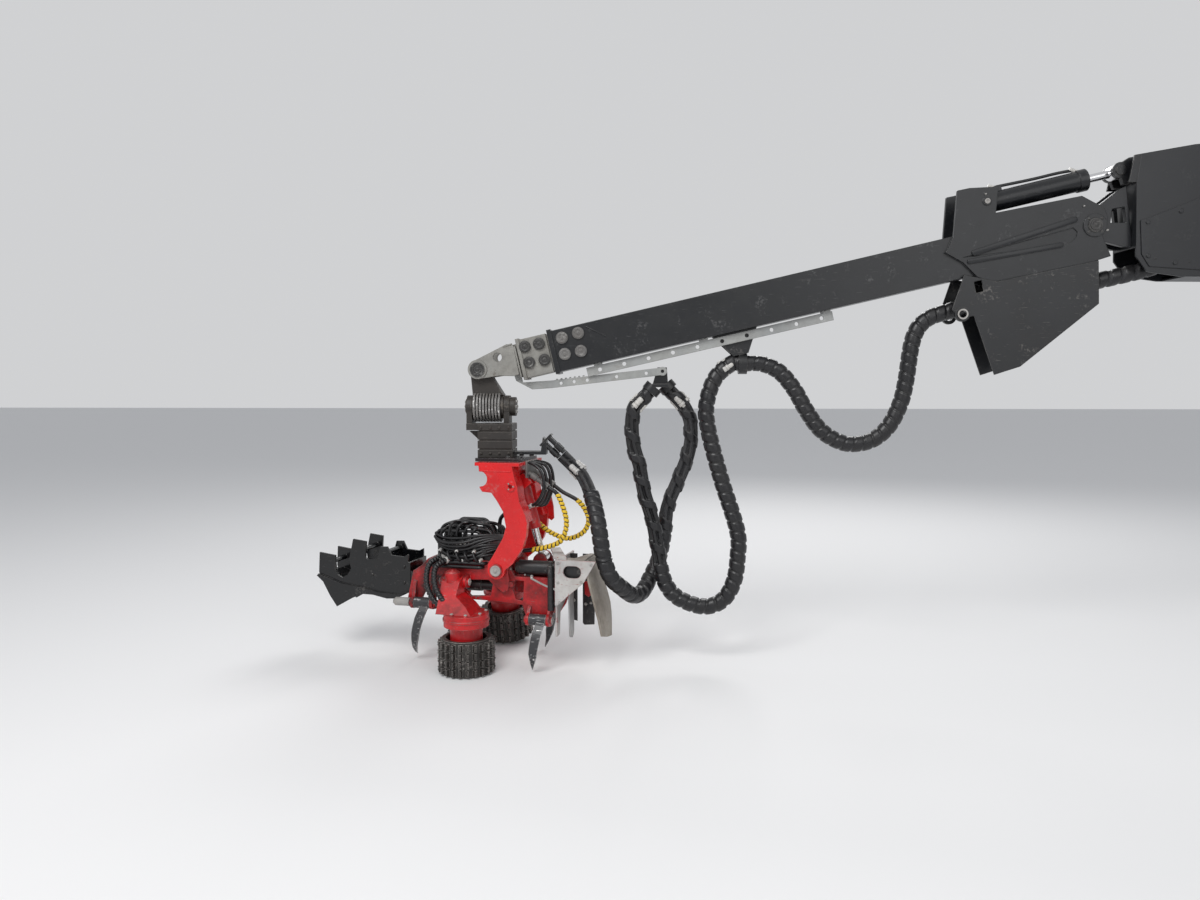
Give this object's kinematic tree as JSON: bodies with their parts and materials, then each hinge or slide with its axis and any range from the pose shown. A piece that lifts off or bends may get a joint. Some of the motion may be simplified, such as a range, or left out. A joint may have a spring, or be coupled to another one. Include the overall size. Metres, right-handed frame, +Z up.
{
  "type": "harvester crane boom with felling head",
  "caption": "Knuckled loader crane with a telescoping jib, brake link, rotator and tilt arch that carries a felling head with spiked feed rollers, delimbing knives and a saw.",
  "frame": {"origin": "centre of the boom foot's bore, where the crane is pinned to its base", "axes": "the crane lies in the XZ plane: +X from the felling head towards the boom foot, +Y across the crane along the foot bore, +Z up"},
  "size_m": [9.1358, 1.0407, 3.0858],
  "materials": {
    "boom_black": "satin black paint",
    "jib_black": "satin black paint, scuffed",
    "worn_grey": "worn grey paint and bare steel",
    "rail_grey": "dull galvanised steel",
    "pin_steel": "dull steel",
    "rod_chrome": "ground chrome",
    "bracket_black": "black paint",
    "dark_cast": "oily dark casting",
    "disc_steel": "dark discs with bright edges",
    "arch_red": "bright red paint",
    "frame_red": "worn red paint",
    "valve_black": "oily black castings",
    "plate_grey": "bare grey-white plate",
    "cover_grey": "worn grey plate",
    "guard_black": "gloss black paint",
    "roller_steel": "dark worn steel",
    "knife_steel": "dark steel with worn edges",
    "bar_steel": "bright steel",
    "hose_black": "black woven sleeve",
    "hose_rubber": "smooth black rubber",
    "wrap_yellow": "yellow spiral wrap over black hose"
  },
  "bodies": {
    "main_boom": {"main_boom": "boom_black", "boom_tongue": "boom_black", "boom_cover": "boom_black", "rod_clevis": "bracket_black", "hose_knuckle": "hose_black"},
    "jib": {"jib_beam": "jib_black", "jib_base": "jib_black", "knuckle_pin": "pin_steel", "hose_guard": "bracket_black", "upper_rail": "rail_grey", "jib_clamp": "bracket_black", "hose_main": "hose_black", "hose_loop": "hose_black"},
    "jib_barrel": {"jib_barrel": "jib_black"},
    "jib_rod": {"jib_rod": "rod_chrome"},
    "extension_1": {"extension_1": "worn_grey"},
    "extension_2": {"extension_2": "worn_grey", "lower_rail": "rail_grey", "hose_bracket": "bracket_black", "tip_pin": "pin_steel", "hose_head": "hose_black"},
    "tip_link": {"tip_link": "dark_cast", "brake_discs": "disc_steel"},
    "rotator": {"rotator": "dark_cast", "hose_bulkhead": "bracket_black"},
    "arch": {"arch": "arch_red", "arch_hoses": "pin_steel", "wrapped_hose_1": "wrap_yellow", "wrapped_hose_2": "wrap_yellow"},
    "tilt_barrel": {"tilt_barrel": "frame_red"},
    "tilt_rod": {"tilt_rod": "rod_chrome"},
    "head": {"head_frame": "frame_red", "valve_block": "valve_black", "head_hoses": "hose_rubber", "saw_motor": "valve_black", "knife_pins": "pin_steel", "saw_box": "plate_grey", "saw_cover": "cover_grey", "front_guard": "guard_black"},
    "near_arm": {"near_arm": "frame_red"},
    "far_arm": {"far_arm": "frame_red"},
    "near_roller": {"near_roller": "roller_steel"},
    "far_roller": {"far_roller": "roller_steel"},
    "front_knife_near": {"front_knife_near": "knife_steel"},
    "front_knife_far": {"front_knife_far": "knife_steel"},
    "rear_knife_near": {"rear_knife_near": "knife_steel"},
    "rear_knife_far": {"rear_knife_far": "knife_steel"},
    "saw_bar": {"saw_bar": "bar_steel"}
  },
  "joints": [
    {"name": "jib_fold", "type": "hinge", "parent": "main_boom", "child": "jib", "pos_m": [-4.355, 0, -0.326], "axis": [0, -1, 0], "range_deg": [-5, 40], "deforming": ["hose_knuckle"]},
    {"name": "jib_cylinder_swing", "type": "hinge", "parent": "jib", "child": "jib_barrel", "pos_m": [-4.96594, 0, -0.18483], "axis": [0, -1, 0], "range_deg": [-13.5, 2.5]},
    {"name": "jib_cylinder_stroke", "type": "slide", "parent": "jib_barrel", "child": "jib_rod", "axis": [0.9742, 0, 0.2258], "range_m": [-0.03, 0.16]},
    {"name": "extension_2_slide", "type": "slide", "parent": "jib", "child": "extension_2", "axis": [-0.9748, 0, -0.2233], "range_m": [0, 1.8], "deforming": ["hose_loop"]},
    {"name": "extension_1_slide", "type": "slide", "parent": "jib", "child": "extension_1", "axis": [-0.9748, 0, -0.2233], "range_m": [0, 0.92]},
    {"name": "link_swing", "type": "hinge", "parent": "extension_2", "child": "tip_link", "pos_m": [-7.9431, 0, -1.14778], "axis": [0, 1, 0], "range_deg": [-15, 25], "deforming": ["hose_head"]},
    {"name": "rotator_swing", "type": "hinge", "parent": "tip_link", "child": "rotator", "pos_m": [-7.9431, 0, -1.37278], "axis": [1, 0, 0], "range_deg": [-20, 20]},
    {"name": "rotator_turn", "type": "hinge", "parent": "rotator", "child": "arch", "pos_m": [-7.8381, 0, -1.68778], "axis": [0, 0, 1], "range_deg": [-135, 135]},
    {"name": "head_tilt", "type": "hinge", "parent": "arch", "child": "head", "pos_m": [-7.77429, -0.0124, -2.34778], "axis": [0.1908, 0.9816, 0], "range_deg": [-10, 45], "deforming": ["wrapped_hose_1", "wrapped_hose_2"]},
    {"name": "tilt_cylinder_swing", "type": "hinge", "parent": "arch", "child": "tilt_barrel", "pos_m": [-7.68104, -0.03053, -1.83978], "axis": [0.1908, 0.9816, 0], "range_deg": [-3, 9]},
    {"name": "tilt_cylinder_stroke", "type": "slide", "parent": "tilt_barrel", "child": "tilt_rod", "axis": [0.2667, -0.0518, -0.9624], "range_m": [-0.05, 0.18]},
    {"name": "near_arm_open", "type": "hinge", "parent": "head", "child": "near_arm", "pos_m": [-8.09522, -0.14358, -2.43278], "axis": [-0.9816, 0.1908, 0], "range_deg": [-8, 25]},
    {"name": "far_arm_open", "type": "hinge", "parent": "head", "child": "far_arm", "pos_m": [-8.02271, 0.22944, -2.43278], "axis": [0.9816, -0.1908, 0], "range_deg": [-20, 13]},
    {"name": "near_roller_turn", "type": "hinge", "parent": "near_arm", "child": "near_roller", "pos_m": [-7.98658, -0.28694, -2.84778], "axis": [0, 0, 1], "continuous": true},
    {"name": "far_roller_turn", "type": "hinge", "parent": "far_arm", "child": "far_roller", "pos_m": [-7.85231, 0.40379, -2.81377], "axis": [-0.0397, -0.2041, 0.9781], "continuous": true},
    {"name": "front_knife_near_open", "type": "hinge", "parent": "head", "child": "front_knife_near", "pos_m": [-8.34259, -0.09549, -2.57778], "axis": [-0.9816, 0.1908, 0], "range_deg": [-22, 25]},
    {"name": "front_knife_far_open", "type": "hinge", "parent": "head", "child": "front_knife_far", "pos_m": [-8.20333, 0.26455, -2.57778], "axis": [0.9816, -0.1908, 0], "range_deg": [-22, 25]},
    {"name": "rear_knife_near_open", "type": "hinge", "parent": "head", "child": "rear_knife_near", "pos_m": [-7.61226, -0.23745, -2.63778], "axis": [-0.9816, 0.1908, 0], "range_deg": [-34, 20]},
    {"name": "rear_knife_far_open", "type": "hinge", "parent": "head", "child": "rear_knife_far", "pos_m": [-7.6065, 0.14854, -2.63778], "axis": [0.9816, -0.1908, 0], "range_deg": [-34, 20]},
    {"name": "saw_swing", "type": "hinge", "parent": "head", "child": "saw_bar", "pos_m": [-7.37296, -0.24322, -2.36278], "axis": [0.9816, -0.1908, 0], "range_deg": [0, 95]}
  ],
  "couplings": [
    {"joint": "jib_cylinder_swing", "follows": "jib_fold", "ratio": -0.319},
    {"joint": "jib_cylinder_stroke", "follows": "jib_fold", "m_per_rad": 0.2129},
    {"joint": "extension_1_slide", "follows": "extension_2_slide", "ratio": 0.5},
    {"joint": "tilt_cylinder_swing", "follows": "head_tilt", "ratio": 0.1511},
    {"joint": "tilt_cylinder_stroke", "follows": "head_tilt", "m_per_rad": 0.2079}
  ]
}
